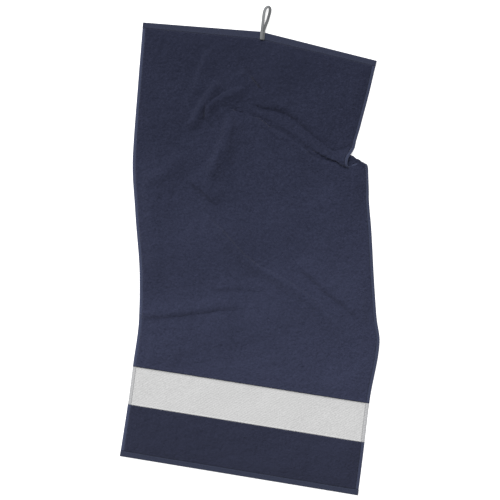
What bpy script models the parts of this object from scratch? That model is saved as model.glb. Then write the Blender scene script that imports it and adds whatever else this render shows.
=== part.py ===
"""Golf towel laid flat with its front up.

Two navy terry panels are joined by a flat woven band, all hemmed round, and a loop of
braided tape is sewn over the top hem. +X runs across the towel, +Y towards the loop and
+Z up; the towel rests on z = 0.

Every piece is cut from one cloth: u is the distance across it from the left edge, v the
distance along it from the bottom edge, and lay(u, v) says where that point of the cloth's
underside lies.
"""

import math

import bmesh
import bpy
import numpy as np
from mathutils import Matrix, Vector

# The cloth, in metres
TOWEL_WIDTH = 0.500
TOWEL_LENGTH = 0.900
LOWER_PANEL_LENGTH = 0.109
BAND_LENGTH = 0.0795
SIDE_HEM_WIDTH = 0.007
END_HEM_WIDTH = 0.012
TERRY_THICKNESS = 0.004
BAND_THICKNESS = 0.0012
SIDE_HEM_THICKNESS = 0.003
END_HEM_THICKNESS = 0.004
BAND_HEM_THICKNESS = 0.0022
CLEARANCE = 0.0003

# Sewing thread
THREAD_WIDTH = 0.0008
THREAD_HEIGHT = 0.0006
SIDE_STITCH_INSET = 0.0020
END_STITCH_INSET = 0.0020
BAND_STITCH_INSET = 0.0020
STITCH_TO_TAPE = 0.0020

# The hanging loop, a doubled length of tape
TAPE_WIDTH = 0.0054
TAPE_THICKNESS = 0.0014
LOOP_FROM_LEFT = 0.2525
LOOP_ANGLE = math.radians(-12.0)
LOOP_REACH = 0.0586
LOOP_RADIUS = 0.0059
SEWN_LENGTH = 0.0145
BARTACK_MARGIN = 0.0006
BARTACK_WIDTH = 0.0016
BARTACK_FROM_END = 0.0012

# How the towel lies: rows of weave run down to the right, columns lean to the right
ROW_ANGLE = math.radians(-9.2)
COLUMN_LEAN = math.radians(2.75)
TOP_PEAK = 0.021
TOP_PEAK_REACH = 0.120

# The pleat, a raised fold that starts inside the panel and opens at the right edge
PLEAT_ACROSS = 0.236
PLEAT_INNER_DEPTH = 0.141
PLEAT_EDGE_DEPTH = 0.209
PLEAT_HEIGHT = 0.013
PLEAT_HALF_WIDTH = 0.022
PLEAT_STEP = 0.012

# How far each side edge wanders to the right: (share of the length, metres)
LEFT_WANDER = (
    (0.00, 0.000), (0.13, 0.012), (0.21, 0.018), (0.32, 0.026), (0.41, 0.0235),
    (0.56, 0.008), (0.69, -0.003), (0.86, 0.0008), (1.00, 0.005),
)
RIGHT_WANDER_BELOW_PLEAT = (
    (0.00, 0.000), (0.09, 0.0065), (0.22, 0.0155), (0.35, 0.030), (0.405, 0.0215), (0.49, 0.0125),
    (0.61, 0.0015), (0.68, -0.0065),
)
RIGHT_WANDER_UNDER_PLEAT = -0.012
RIGHT_WANDER_OVER_PLEAT = -0.043
RIGHT_WANDER_ABOVE_PLEAT = ((0.85, -0.031), (0.92, -0.0175), (1.00, -0.004))

# Colours are linear RGB
NAVY_TERRY = (0.032, 0.037, 0.067)
NAVY_HEM = (0.045, 0.054, 0.098)
NAVY_THREAD = (0.027, 0.031, 0.058)
OFF_WHITE_WEAVE = (0.630, 0.630, 0.638)
OFF_WHITE_HEM = (0.470, 0.475, 0.490)
OFF_WHITE_THREAD = (0.700, 0.700, 0.710)
GREY_TAPE = (0.190, 0.200, 0.205)
GREY_THREAD = (0.110, 0.115, 0.120)

# Places along the cloth that more than one piece shares
BAND_LOW = LOWER_PANEL_LENGTH
BAND_HIGH = LOWER_PANEL_LENGTH + BAND_LENGTH
PLEAT_V = TOWEL_LENGTH - PLEAT_EDGE_DEPTH
HALF_CLEARANCE = CLEARANCE / 2
HEM_STITCH_LIFT = END_HEM_THICKNESS + CLEARANCE
TAPE_LIFT = max(END_HEM_THICKNESS, TERRY_THICKNESS) + CLEARANCE
SEAM_HINGE_HEIGHT = max(TERRY_THICKNESS, SIDE_HEM_THICKNESS + CLEARANCE + THREAD_HEIGHT)
LOOP_HINGE_HEIGHT = TAPE_LIFT + TAPE_THICKNESS


def remove_everything():
    for obj in list(bpy.data.objects):
        bpy.data.objects.remove(obj, do_unlink=True)


def smooth_curve(stations, heights):
    """A curve through the stations that never overshoots them, as a function."""
    stations = np.array(stations)
    heights = np.array(heights)
    secants = np.diff(heights) / np.diff(stations)
    slopes = np.zeros(len(stations))
    for i in range(1, len(stations) - 1):
        before, after = secants[i - 1], secants[i]
        if before * after > 0:
            slopes[i] = 2 * before * after / (before + after)
    slopes[0], slopes[-1] = secants[0], secants[-1]

    def value(at):
        i = int(np.clip(np.searchsorted(stations, at) - 1, 0, len(secants) - 1))
        span = stations[i + 1] - stations[i]
        t = (at - stations[i]) / span
        ends = heights[i] * (1 + 2 * t) * (1 - t) ** 2 + heights[i + 1] * t * t * (3 - 2 * t)
        leans = slopes[i] * t * (1 - t) ** 2 - slopes[i + 1] * t * t * (1 - t)
        return ends + span * leans

    return value


def left_wander_curve():
    shares, offsets = zip(*LEFT_WANDER)
    return smooth_curve([share * TOWEL_LENGTH for share in shares], offsets)


def right_wander_curve():
    below = [(share * TOWEL_LENGTH, offset) for share, offset in RIGHT_WANDER_BELOW_PLEAT]
    pleat = [
        (PLEAT_V - PLEAT_STEP, RIGHT_WANDER_UNDER_PLEAT),
        (PLEAT_V + PLEAT_STEP, RIGHT_WANDER_OVER_PLEAT),
    ]
    above = [(share * TOWEL_LENGTH, offset) for share, offset in RIGHT_WANDER_ABOVE_PLEAT]
    clear = PLEAT_STEP * 2
    below = [point for point in below if point[0] < PLEAT_V - clear]
    above = [point for point in above if point[0] > PLEAT_V + clear]
    return smooth_curve(*zip(*(below + pleat + above)))


LEFT_WANDER_AT = left_wander_curve()
RIGHT_WANDER_AT = right_wander_curve()


def pleat_height(u, v):
    """Height of the cloth's underside: a bell across the pleat that grows to the right edge."""
    start = Vector((TOWEL_WIDTH - PLEAT_ACROSS, TOWEL_LENGTH - PLEAT_INNER_DEPTH))
    end = Vector((TOWEL_WIDTH, PLEAT_V))
    line = end - start
    offset = Vector((u, v)) - start
    along = min(max(offset.dot(line) / line.length_squared, 0.0), 1.0)
    apart = abs(offset.cross(line)) / line.length / PLEAT_HALF_WIDTH
    if apart >= 1:
        return 0.0
    bell = (1 - apart * apart) ** 2
    return PLEAT_HEIGHT * bell * along * along * (3 - 2 * along)


def lay(u, v):
    """Where the cloth's underside lies, u across from the left edge and v up from the bottom edge."""
    share = u / TOWEL_WIDTH
    wander = LEFT_WANDER_AT(v) * (1 - share) + RIGHT_WANDER_AT(v) * share
    side = LOOP_FROM_LEFT if u < LOOP_FROM_LEFT else TOWEL_WIDTH - LOOP_FROM_LEFT
    tent = 1 - abs(u - LOOP_FROM_LEFT) / side
    fade = max(0.0, 1 - (TOWEL_LENGTH - v) / TOP_PEAK_REACH)
    x = u * math.cos(ROW_ANGLE) + v * math.sin(COLUMN_LEAN) + wander
    y = u * math.sin(ROW_ANGLE) + v * math.cos(COLUMN_LEAN) + TOP_PEAK * tent * fade * fade
    return Vector((x, y, pleat_height(u, v)))


def loop_frame():
    """Origin at the top edge in the loop's middle, with y along the legs, out from the towel."""
    middle = lay(LOOP_FROM_LEFT, TOWEL_LENGTH)
    return Matrix.Translation(middle) @ Matrix.Rotation(LOOP_ANGLE, 4, "Z")


LOOP_FRAME = loop_frame()


def on_loop_frame(x, y):
    return LOOP_FRAME @ Vector((x, y, 0))


def teardrop():
    """The middle line of the loop's tape, up the left leg, round the top and down the right leg."""
    leg_x = (TAPE_WIDTH + CLEARANCE) / 2
    leg_top = LOOP_REACH - LOOP_RADIUS - TAPE_WIDTH / 2
    leg_steps, arc_steps = 8, 12
    left = []
    for i in range(leg_steps):
        t = i / leg_steps
        spread = t * t * (3 - 2 * t)
        y = HALF_CLEARANCE + (leg_top - HALF_CLEARANCE) * t
        left.append(Vector((-(leg_x + (LOOP_RADIUS - leg_x) * spread), y)))
    arc = []
    for i in range(arc_steps + 1):
        angle = math.pi * (1 - i / arc_steps)
        arc.append(Vector((LOOP_RADIUS * math.cos(angle), leg_top + LOOP_RADIUS * math.sin(angle))))
    right = [Vector((-point.x, point.y)) for point in reversed(left)]
    return left + arc + right


LOOP_LINE = teardrop()


def on_loop_tape(across, step):
    """A point of the loop's tape, across from its middle line at that step of the teardrop."""
    i = int(round(step))
    before = LOOP_LINE[max(i - 1, 0)]
    after = LOOP_LINE[min(i + 1, len(LOOP_LINE) - 1)]
    heading = (after - before).normalized()
    if i in (0, len(LOOP_LINE) - 1):
        heading = Vector((0, 1 if i == 0 else -1))
    point = LOOP_LINE[i] + across * Vector((-heading.y, heading.x))
    return on_loop_frame(point.x, point.y)


def hinge(name, point, direction, collection):
    """An empty on a fold line, with its X axis along the line."""
    empty = bpy.data.objects.new(name, None)
    empty.location = point
    empty.rotation_euler = (0, 0, math.atan2(direction.y, direction.x))
    collection.objects.link(empty)
    return empty


def seam_hinge(name, v, collection):
    """A hinge along a band seam, level with the cloth's top so that it folds to the front."""
    left, right = lay(0, v), lay(TOWEL_WIDTH, v)
    middle = (left + right) / 2 + Vector((0, 0, SEAM_HINGE_HEIGHT))
    return hinge(name, middle, right - left, collection)


def material(name, colour, roughness):
    made = bpy.data.materials.new(name)
    made.use_nodes = True
    shader = made.node_tree.nodes["Principled BSDF"]
    shader.inputs["Base Color"].default_value = (*colour, 1)
    shader.inputs["Roughness"].default_value = roughness
    shader.inputs["Metallic"].default_value = 0.0
    made.diffuse_color = (*colour, 1)
    return made


def sheet(name, across, along, lift, thickness, made_of, collection, place=lay, body=None):
    """A closed sheet over the stations across and along, put in place and raised by lift."""
    bm = bmesh.new()
    columns, rows = len(across) - 1, len(along) - 1
    bmesh.ops.create_grid(bm, x_segments=columns, y_segments=rows, size=0.5)
    for vert in bm.verts:
        u = across[round((vert.co.x + 0.5) * columns)]
        v = along[round((vert.co.y + 0.5) * rows)]
        vert.co = place(u, v) + Vector((0, 0, lift))
    raised = bmesh.ops.extrude_face_region(bm, geom=bm.faces[:])
    lifted = [item for item in raised["geom"] if isinstance(item, bmesh.types.BMVert)]
    bmesh.ops.translate(bm, vec=(0, 0, thickness), verts=lifted)
    bmesh.ops.recalc_face_normals(bm, faces=bm.faces[:])
    if body:
        bmesh.ops.transform(bm, matrix=body.matrix_world.inverted(), verts=bm.verts[:])
    mesh = bpy.data.meshes.new(name)
    bm.to_mesh(mesh)
    bm.free()
    mesh.materials.append(made_of)
    obj = bpy.data.objects.new(name, mesh)
    obj.parent = body
    collection.objects.link(obj)
    return obj


def even(low, high, spacing):
    """Stations from low to high, about spacing apart."""
    count = max(1, round((high - low) / spacing))
    return list(np.linspace(low, high, count + 1))


def inner_columns():
    """Stations across the cloth inside its side hems, closer together where the pleat runs."""
    low = SIDE_HEM_WIDTH + CLEARANCE
    high = TOWEL_WIDTH - SIDE_HEM_WIDTH - CLEARANCE
    middle = LOOP_FROM_LEFT
    return even(low, middle, 0.042)[:-1] + even(middle, high, 0.024)


def main_rows():
    """Stations up the main panel, closer together where the pleat runs."""
    low = BAND_HIGH + HALF_CLEARANCE
    high = TOWEL_LENGTH - END_HEM_WIDTH - CLEARANCE
    pleat_low = PLEAT_V - PLEAT_HALF_WIDTH
    pleat_high = TOWEL_LENGTH - PLEAT_INNER_DEPTH + PLEAT_HALF_WIDTH
    plain = even(low, pleat_low, 0.035)[:-1]
    pleated = even(pleat_low, pleat_high, 0.011)[:-1]
    return plain + pleated + even(pleat_high, high, 0.027)


def side_hems(zone, rows, thickness, cloth, thread, collection, body=None):
    """The hem down each side of one zone of the towel, with its row of stitching."""
    right = TOWEL_WIDTH - SIDE_HEM_WIDTH
    hems = {
        "left": (0.0, SIDE_HEM_WIDTH, SIDE_HEM_WIDTH - SIDE_STITCH_INSET),
        "right": (right, TOWEL_WIDTH, right + SIDE_STITCH_INSET),
    }
    for side, (low, high, stitch) in hems.items():
        line = [stitch - THREAD_WIDTH / 2, stitch + THREAD_WIDTH / 2]
        name = f"{side}_hem_{zone}"
        sheet(name, [low, *line, high], rows, 0, thickness, cloth, collection, body=body)
        name = f"{side}_stitching_{zone}"
        lift = thickness + CLEARANCE
        sheet(name, line, rows, lift, THREAD_HEIGHT, thread, collection, body=body)


def stitch_row(name, columns, v, lift, thread, collection, body=None):
    """A row of stitching across the towel."""
    line = [v - THREAD_WIDTH / 2, v + THREAD_WIDTH / 2]
    sheet(name, columns, line, lift, THREAD_HEIGHT, thread, collection, body=body)


def main_part(paints, collection):
    """The long upper panel of terry, its side hems and the turned hem along the top edge."""
    rows = main_rows()
    sheet("main_panel", inner_columns(), rows, 0, TERRY_THICKNESS, paints["terry"], collection)
    side_hems("main", rows, SIDE_HEM_THICKNESS, paints["hem"], paints["navy_thread"], collection)
    columns = [0.0] + inner_columns() + [TOWEL_WIDTH]
    hem_rows = [TOWEL_LENGTH - END_HEM_WIDTH, TOWEL_LENGTH]
    sheet("top_hem", columns, hem_rows, 0, END_HEM_THICKNESS, paints["hem"], collection)
    v = TOWEL_LENGTH - END_HEM_WIDTH + END_STITCH_INSET
    stop = TAPE_WIDTH + HALF_CLEARANCE + STITCH_TO_TAPE
    left = even(SIDE_HEM_WIDTH, LOOP_FROM_LEFT - stop, 0.06)
    right = even(LOOP_FROM_LEFT + stop, TOWEL_WIDTH - SIDE_HEM_WIDTH, 0.06)
    for side, span in (("left", left), ("right", right)):
        name = f"top_hem_stitching_{side}"
        stitch_row(name, span, v, HEM_STITCH_LIFT, paints["navy_thread"], collection)


def band_part(paints, collection, body):
    """The flat woven band between the two terry panels."""
    columns = inner_columns()
    rows = even(BAND_LOW + HALF_CLEARANCE, BAND_HIGH - HALF_CLEARANCE, 0.026)
    sheet("woven_band", columns, rows, 0, BAND_THICKNESS, paints["band"], collection, body=body)
    thread = paints["white_thread"]
    side_hems("band", rows, BAND_HEM_THICKNESS, paints["band_hem"], thread, collection, body)
    lift = BAND_THICKNESS + CLEARANCE
    seams = {"lower": BAND_LOW + BAND_STITCH_INSET, "upper": BAND_HIGH - BAND_STITCH_INSET}
    for side, v in seams.items():
        stitch_row(f"band_stitching_{side}", columns, v, lift, thread, collection, body)


def lower_part(paints, collection, body):
    """The short panel of terry below the band, its side hems and the turned bottom hem."""
    columns = inner_columns()
    rows = even(END_HEM_WIDTH + CLEARANCE, BAND_LOW - HALF_CLEARANCE, 0.024)
    sheet("lower_panel", columns, rows, 0, TERRY_THICKNESS, paints["terry"], collection, body=body)
    thread = paints["navy_thread"]
    side_hems("lower", rows, SIDE_HEM_THICKNESS, paints["hem"], thread, collection, body)
    hem_columns = [0.0] + columns + [TOWEL_WIDTH]
    hem_rows = [0.0, END_HEM_WIDTH]
    sheet("bottom_hem", hem_columns, hem_rows, 0, END_HEM_THICKNESS, paints["hem"], collection, body=body)
    v = END_HEM_WIDTH - END_STITCH_INSET
    stitch_row("bottom_hem_stitching", columns, v, HEM_STITCH_LIFT, thread, collection, body)


def loop_part(paints, collection, body):
    """The two tape ends sewn to the front of the top hem, their bartack and the free loop."""
    leg_x = (TAPE_WIDTH + CLEARANCE) / 2
    sewn = [-SEWN_LENGTH, -HALF_CLEARANCE]
    for side, middle in (("left", -leg_x), ("right", leg_x)):
        edges = [middle - TAPE_WIDTH / 2, middle + TAPE_WIDTH / 2]
        name = f"loop_sewn_end_{side}"
        sheet(name, edges, sewn, TAPE_LIFT, TAPE_THICKNESS, paints["tape"], collection, on_loop_frame)
    low = BARTACK_FROM_END - SEWN_LENGTH
    tack = [low, low + BARTACK_WIDTH]
    lift = TAPE_LIFT + TAPE_THICKNESS + CLEARANCE
    reach = TAPE_WIDTH + HALF_CLEARANCE - BARTACK_MARGIN
    edges = [-reach, reach]
    thread = paints["grey_thread"]
    sheet("loop_bartack", edges, tack, lift, THREAD_HEIGHT, thread, collection, on_loop_frame)
    edges = [-TAPE_WIDTH / 2, TAPE_WIDTH / 2]
    steps = range(len(LOOP_LINE))
    tape = paints["tape"]
    sheet("hanging_loop", edges, steps, TAPE_LIFT, TAPE_THICKNESS, tape, collection, on_loop_tape, body)


def centre_on_origin(collection):
    """Moves the towel so that the middle of its box is on the Z axis."""
    bpy.context.view_layer.update()
    corners = [
        obj.matrix_world @ vert.co
        for obj in collection.objects
        if obj.type == "MESH"
        for vert in obj.data.vertices
    ]
    low = Vector(map(min, zip(*corners)))
    high = Vector(map(max, zip(*corners)))
    middle = (low + high) / 2
    for obj in collection.objects:
        if obj.parent is None:
            obj.location -= Vector((middle.x, middle.y, 0))


def main():
    remove_everything()
    collection = bpy.data.collections.new("golf_towel")
    bpy.context.scene.collection.children.link(collection)
    paints = {
        "terry": material("navy_terry", NAVY_TERRY, 0.95),
        "hem": material("navy_hem", NAVY_HEM, 0.90),
        "navy_thread": material("navy_thread", NAVY_THREAD, 0.70),
        "band": material("off_white_weave", OFF_WHITE_WEAVE, 0.80),
        "band_hem": material("off_white_hem", OFF_WHITE_HEM, 0.80),
        "white_thread": material("off_white_thread", OFF_WHITE_THREAD, 0.60),
        "tape": material("grey_tape", GREY_TAPE, 0.75),
        "grey_thread": material("grey_thread", GREY_THREAD, 0.60),
    }
    band_fold = seam_hinge("band_fold", BAND_HIGH, collection)
    lower_fold = seam_hinge("lower_fold", BAND_LOW, collection)
    lower_fold.parent = band_fold
    lower_fold.matrix_basis = band_fold.matrix_basis.inverted() @ lower_fold.matrix_basis
    loop_edge = LOOP_FRAME @ Vector((0, 0, LOOP_HINGE_HEIGHT))
    across = LOOP_FRAME.to_3x3() @ Vector((1, 0, 0))
    loop_flex = hinge("loop_flex", loop_edge, across, collection)
    bpy.context.view_layer.update()
    main_part(paints, collection)
    band_part(paints, collection, band_fold)
    lower_part(paints, collection, lower_fold)
    loop_part(paints, collection, loop_flex)
    centre_on_origin(collection)


main()
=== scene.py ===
"""Looks of the golf towel.

One sheet of cloth, described by cloth(u, v), is cut into the terry panels, the woven band and
the hems, and carries its stitching. The hanging loop is sewn over the top hem. u runs across the
towel from its left edge and v up it from its bottom edge, in metres, as in the CAD model.
Everything else is in the row frame, in metres.
"""

import math

import bpy
import numpy as np
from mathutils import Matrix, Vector


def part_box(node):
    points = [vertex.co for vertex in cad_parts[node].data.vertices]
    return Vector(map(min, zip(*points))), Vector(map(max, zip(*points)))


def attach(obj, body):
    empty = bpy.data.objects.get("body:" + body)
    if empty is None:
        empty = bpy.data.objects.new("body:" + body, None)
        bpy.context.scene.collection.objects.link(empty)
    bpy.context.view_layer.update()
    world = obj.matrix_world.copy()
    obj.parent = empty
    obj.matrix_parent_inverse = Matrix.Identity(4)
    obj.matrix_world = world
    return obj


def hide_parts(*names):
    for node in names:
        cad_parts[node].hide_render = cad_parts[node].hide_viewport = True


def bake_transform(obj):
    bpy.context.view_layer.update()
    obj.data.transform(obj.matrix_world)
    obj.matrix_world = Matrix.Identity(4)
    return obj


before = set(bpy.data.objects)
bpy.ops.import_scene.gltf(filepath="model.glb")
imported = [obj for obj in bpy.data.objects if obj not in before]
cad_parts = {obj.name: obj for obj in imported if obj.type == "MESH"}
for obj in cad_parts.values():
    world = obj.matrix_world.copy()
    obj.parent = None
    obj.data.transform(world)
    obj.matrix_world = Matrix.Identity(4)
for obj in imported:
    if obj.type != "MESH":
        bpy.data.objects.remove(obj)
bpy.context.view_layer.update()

# The cut of the cloth, as in the CAD model, and thicknesses near its own
TOWEL_WIDTH = 0.500
TOWEL_LENGTH = 0.900
LOWER_PANEL_LENGTH = 0.109
BAND_LENGTH = 0.0795
SIDE_HEM_WIDTH = 0.007
END_HEM_WIDTH = 0.012
TERRY_THICKNESS = 0.0038
BAND_THICKNESS = 0.0013
SIDE_HEM_THICKNESS = 0.0030
END_HEM_THICKNESS = 0.0036
BAND_HEM_THICKNESS = 0.0021
STITCH_INSET = 0.0020
BAND_LOW = LOWER_PANEL_LENGTH
BAND_HIGH = LOWER_PANEL_LENGTH + BAND_LENGTH
INNER_LEFT = SIDE_HEM_WIDTH
INNER_RIGHT = TOWEL_WIDTH - SIDE_HEM_WIDTH
INNER_TOP = TOWEL_LENGTH - END_HEM_WIDTH
# Left free between neighbouring pieces of cloth
GAP = 0.0001

# How it lies, much as in the CAD model. The top edge rises to a peak at the loop.
ROW_ANGLE = math.radians(-9.2)
COLUMN_LEAN = math.radians(2.75)
TOP_PEAK = 0.021
TOP_PEAK_REACH = 0.120
LOOP_FROM_LEFT = 0.2525
LOOP_ANGLE = math.radians(-12.0)
# How far left of the row frame's origin the hanging loop's middle line passes
LOOP_ACROSS = 0.067
# How far the side edges stray from straight: (share of the length, shift to the right)
LEFT_WANDER = (
    (0.00, 0.000), (0.13, 0.012), (0.21, 0.018), (0.32, 0.026), (0.41, 0.0235),
    (0.56, 0.008), (0.69, -0.003), (0.86, 0.0008), (1.00, 0.005),
)
RIGHT_WANDER = (
    (0.00, 0.000), (0.09, 0.0065), (0.22, 0.0155), (0.35, 0.030), (0.405, 0.0215), (0.49, 0.0125),
    (0.61, 0.0015), (0.68, -0.0065), (0.754, -0.012), (0.781, -0.043), (0.85, -0.031),
    (0.92, -0.0175), (1.00, -0.004),
)
# The rows fan out a little: (share of the length, extra rise of a row in metres per metre)
ROW_FAN = ((0.00, -0.003), (0.12, 0.0015), (0.21, 0.006), (0.50, 0.004), (1.00, 0.001))
# The rows near the band sit a little low: (share of the length, shift up)
ROW_SAG = ((0.00, 0.0), (0.121, -0.0017), (0.209, -0.0019), (0.45, 0.0), (1.00, 0.0))

# The pleat starts inside the main panel and rolls over itself at the right edge. Its ends are
# given as (u, v), its crest as (x, y) in the row frame, with the crest's x at the two ends.
PLEAT_START = (TOWEL_WIDTH - 0.236, TOWEL_LENGTH - 0.141)
PLEAT_END = (TOWEL_WIDTH, TOWEL_LENGTH - 0.209)
PLEAT_CREST = (
    (-0.020, 0.298), (0.011, 0.2905), (0.040, 0.279), (0.073, 0.262), (0.125, 0.2245),
    (0.177, 0.188), (0.205, 0.177),
)
PLEAT_CREST_RUN = (0.010, 0.205)
# How wide the ridge's upper flank is: (share of the way to the right edge, share of its width)
PLEAT_UPPER_FLANK = (
    (-0.15, 0.30), (0.00, 0.34), (0.10, 0.44), (0.20, 0.68), (0.40, 0.97), (0.55, 0.84),
    (0.75, 0.75), (1.00, 0.75),
)
# How far up the turned-under part's foot lies for each metre to the left of the mouth
ROLL_SLOPE = 0.587
# One column of cloth over the pleat, from above it to below it, in millimetres: the distance
# along the cloth; inside the panel, the distance up the column from the crest and the height; at
# the towel's edge, the distances to the right of the crest and up from it, and the height
PLEAT_FOLD = (
    (42, 42.0, 0.0, 17.5, 46.5, 0.0),
    (34, 33.5, 0.2, 14.5, 38.0, 0.0),
    (29, 28.0, 0.4, 12.0, 32.0, 0.3),
    (24.5, 23.0, 0.6, 8.3, 25.0, 2.2),
    (20, 18.3, 0.9, 4.0, 19.0, 5.2),
    (15, 13.2, 1.4, 0.0, 13.0, 8.6),
    (10, 8.2, 2.1, -2.5, 6.0, 10.4),
    (5, 3.2, 3.0, -2.7, -1.0, 10.0),
    (0, -1.6, 4.0, -0.5, -6.0, 8.2),
    (-3.5, -5.0, 4.8, 3.9, -7.0, 6.2),
    (-6, -7.5, 5.1, 7.6, -6.2, 5.5),
    (-8.5, -10.0, 4.5, 12.0, -4.3, 5.2),
    (-13, -14.3, 2.9, 21.0, -2.0, 5.0),
    (-18, -19.0, 1.8, 31.0, 0.2, 4.8),
    (-21, -22.0, 1.3, 36.5, 0.6, 4.5),
    (-23.5, -24.4, 1.0, 39.0, -1.2, 3.8),
    (-25.5, -26.4, 0.7, 39.9, -3.6, 3.0),
    (-27.5, -28.4, 0.5, 40.4, -6.4, 2.2),
    (-30.5, -31.3, 0.3, 40.8, -10.8, 1.2),
    (-36, -36.8, 0.1, 41.0, -18.5, 0.4),
    (-42, -43.0, 0.0, 41.3, -27.0, 0.0),
    (-55, -56.0, 0.0, 42.3, -49.0, 0.0),
    (-82, -83.0, 0.0, 45.0, -77.0, 0.0),
)

# Soft ridges: the points of the crest, its height, and the widths of the flanks to the left and
# to the right of the way that the points run
RIDGES = (
    (((-0.073, 0.424), (-0.088, 0.397), (-0.100, 0.369), (-0.108, 0.336), (-0.112, 0.314)),
     0.0044, 0.026, 0.0085),
    (((-0.060, 0.359), (-0.077, 0.329), (-0.090, 0.310), (-0.106, 0.284), (-0.115, 0.267),
      (-0.136, 0.247)), 0.0064, 0.0125, 0.0075),
    (((0.007, 0.334), (-0.020, 0.330), (-0.046, 0.320), (-0.069, 0.308), (-0.082, 0.296),
      (-0.086, 0.284), (-0.084, 0.270), (-0.074, 0.256)), 0.0038, 0.014, 0.0048),
    (((-0.033, 0.289), (-0.040, 0.266), (-0.045, 0.247), (-0.052, 0.220), (-0.063, 0.198),
      (-0.075, 0.176), (-0.079, 0.156), (-0.077, 0.127)), 0.0072, 0.019, 0.0105),
    (((-0.014, 0.302), (0.010, 0.303), (0.039, 0.299), (0.066, 0.288), (0.099, 0.269),
      (0.126, 0.248), (0.158, 0.222), (0.181, 0.203)), 0.0034, 0.04, 0.0074),
    (((-0.109, 0.098), (-0.080, 0.057), (-0.057, 0.033), (-0.025, -0.003), (0.007, -0.031),
      (0.051, -0.055), (0.089, -0.077), (0.122, -0.101), (0.155, -0.134), (0.196, -0.168)),
     0.0042, 0.0034, 0.012),
    (((-0.100, 0.086), (-0.080, 0.057), (-0.057, 0.033), (-0.025, -0.003), (0.007, -0.031),
      (0.040, -0.050)), 0.0024, 0.0040, 0.034),
    (((0.026, -0.037), (0.088, -0.074), (0.154, -0.132), (0.198, -0.174)), 0.0036, 0.026, 0.03),
    (((0.092, -0.022), (0.109, -0.040), (0.131, -0.053), (0.158, -0.081), (0.191, -0.105),
      (0.213, -0.124), (0.245, -0.153)), 0.0062, 0.03, 0.0074),
    (((-0.280, -0.135), (-0.215, -0.134), (-0.177, -0.133), (-0.139, -0.129), (-0.095, -0.123),
      (-0.051, -0.118), (0.005, -0.114)), 0.0044, 0.02, 0.0066),
    (((-0.089, -0.080), (-0.057, -0.080), (-0.024, -0.078), (0.014, -0.080), (0.052, -0.076)),
     0.0018, 0.011, 0.0048),
    (((-0.111, 0.204), (-0.132, 0.193), (-0.165, 0.171), (-0.197, 0.144), (-0.207, 0.121)),
     0.0028, 0.02, 0.012),
    (((-0.022, 0.370), (-0.014, 0.349), (-0.006, 0.332)), 0.0034, 0.006, 0.012),
    (((-0.130, 0.154), (-0.115, 0.139), (-0.097, 0.125), (-0.080, 0.109), (-0.064, 0.092)),
     0.0046, 0.03, 0.0056),
    (((-0.205, 0.200), (-0.198, 0.050), (-0.205, -0.110)), 0.0045, 0.034, 0.036),
    (((0.150, 0.080), (0.170, -0.030), (0.175, -0.220)), 0.0030, 0.045, 0.045),
)
# Creases, which run to a sharp bottom: the points, the depth and the width to each side
CREASES = (
    (((-0.019, 0.401), (-0.007, 0.376), (0.003, 0.360), (0.012, 0.346), (0.030, 0.326)),
     0.0052, 0.0036),
    (((-0.086, 0.304), (-0.093, 0.294), (-0.095, 0.282), (-0.092, 0.268), (-0.083, 0.256),
      (-0.070, 0.245)), 0.004, 0.0042),
    (((-0.045, 0.293), (-0.022, 0.286), (-0.006, 0.282), (0.021, 0.270)), 0.0026, 0.0042),
)


def smoothstep(t):
    t = np.clip(t, 0.0, 1.0)
    return t * t * (3 - 2 * t)


def fade(value, start, length):
    """0 up to the start, 1 once the length past it, and smooth between them."""
    return smoothstep((value - start) / length)


def smooth_curve(stations, heights):
    """A curve through the stations that never overshoots them, as a function."""
    stations = np.array(stations, float)
    heights = np.array(heights, float)
    secants = np.diff(heights) / np.diff(stations)
    slopes = np.zeros(len(stations))
    for i in range(1, len(stations) - 1):
        before, after = secants[i - 1], secants[i]
        if before * after > 0:
            slopes[i] = 2 * before * after / (before + after)
    slopes[0], slopes[-1] = secants[0], secants[-1]

    def value(at):
        i = np.clip(np.searchsorted(stations, at) - 1, 0, len(secants) - 1)
        span = stations[i + 1] - stations[i]
        t = np.clip((at - stations[i]) / span, 0.0, 1.0)
        ends = heights[i] * (1 + 2 * t) * (1 - t) ** 2 + heights[i + 1] * t * t * (3 - 2 * t)
        leans = slopes[i] * t * (1 - t) ** 2 - slopes[i + 1] * t * t * (1 - t)
        return ends + span * leans

    return value


def through(points, steps=8):
    """A smooth line through the points, as an array of points (a Catmull-Rom spline)."""
    points = np.array(points, float)
    padded = np.vstack((2 * points[0] - points[1], points, 2 * points[-1] - points[-2]))
    line = []
    for a, b, c, d in zip(padded, padded[1:], padded[2:], padded[3:]):
        for t in np.arange(steps) / steps:
            line.append(0.5 * (2 * b + (c - a) * t + (2 * a - 5 * b + 4 * c - d) * t * t
                               + (3 * b - a - 3 * c + d) * t ** 3))
    line.append(points[-1])
    return np.array(line)


def wander_curve(table):
    """A curve of v from a table of (share of the length, offset) rows."""
    shares, offsets = zip(*table)
    return smooth_curve([share * TOWEL_LENGTH for share in shares], offsets)


LEFT_AT = wander_curve(LEFT_WANDER)
RIGHT_AT = wander_curve(RIGHT_WANDER)
FAN_AT = wander_curve(ROW_FAN)
SAG_AT = wander_curve(ROW_SAG)
CREST_AT = smooth_curve(*zip(*PLEAT_CREST))
UPPER_FLANK_AT = smooth_curve(*zip(*PLEAT_UPPER_FLANK))
FOLD_TABLE = np.array(PLEAT_FOLD[::-1]) / 1000
FOLD_CURVES = [smooth_curve(FOLD_TABLE[:, 0], FOLD_TABLE[:, i]) for i in range(1, 6)]


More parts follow.
